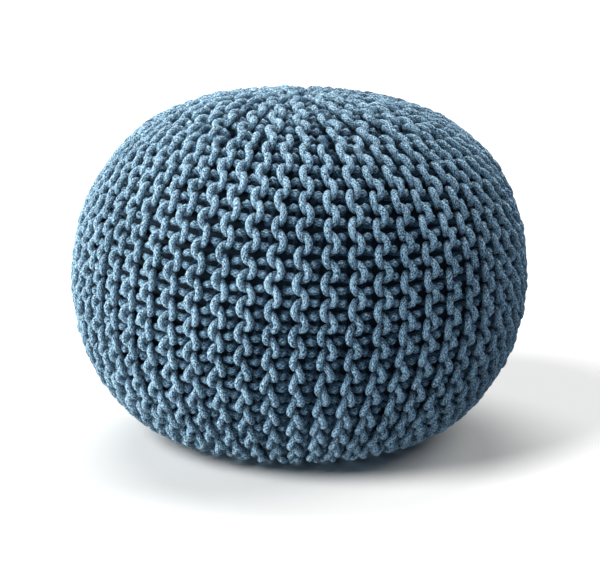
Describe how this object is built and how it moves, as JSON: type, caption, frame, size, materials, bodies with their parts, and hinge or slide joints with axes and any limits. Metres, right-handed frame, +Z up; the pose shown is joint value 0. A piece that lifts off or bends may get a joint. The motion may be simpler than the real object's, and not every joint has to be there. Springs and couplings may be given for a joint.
{
  "type": "knitted pouf",
  "caption": "Round filled pouf in a chunky garter-stitch cover, gathered at crown and base, that rests flat on a floor as a low seat or footrest.",
  "frame": {"origin": "on the floor at the centre of the flat base", "axes": "+Z up through the gathered crown; the front, as first seen, faces -Y"},
  "size_m": [0.5, 0.5, 0.38],
  "materials": {
    "knitted_cover": "matte braided cotton cord, chunky knit"
  },
  "bodies": {
    "root": {"knitted_cover": "knitted_cover"}
  },
  "joints": []
}
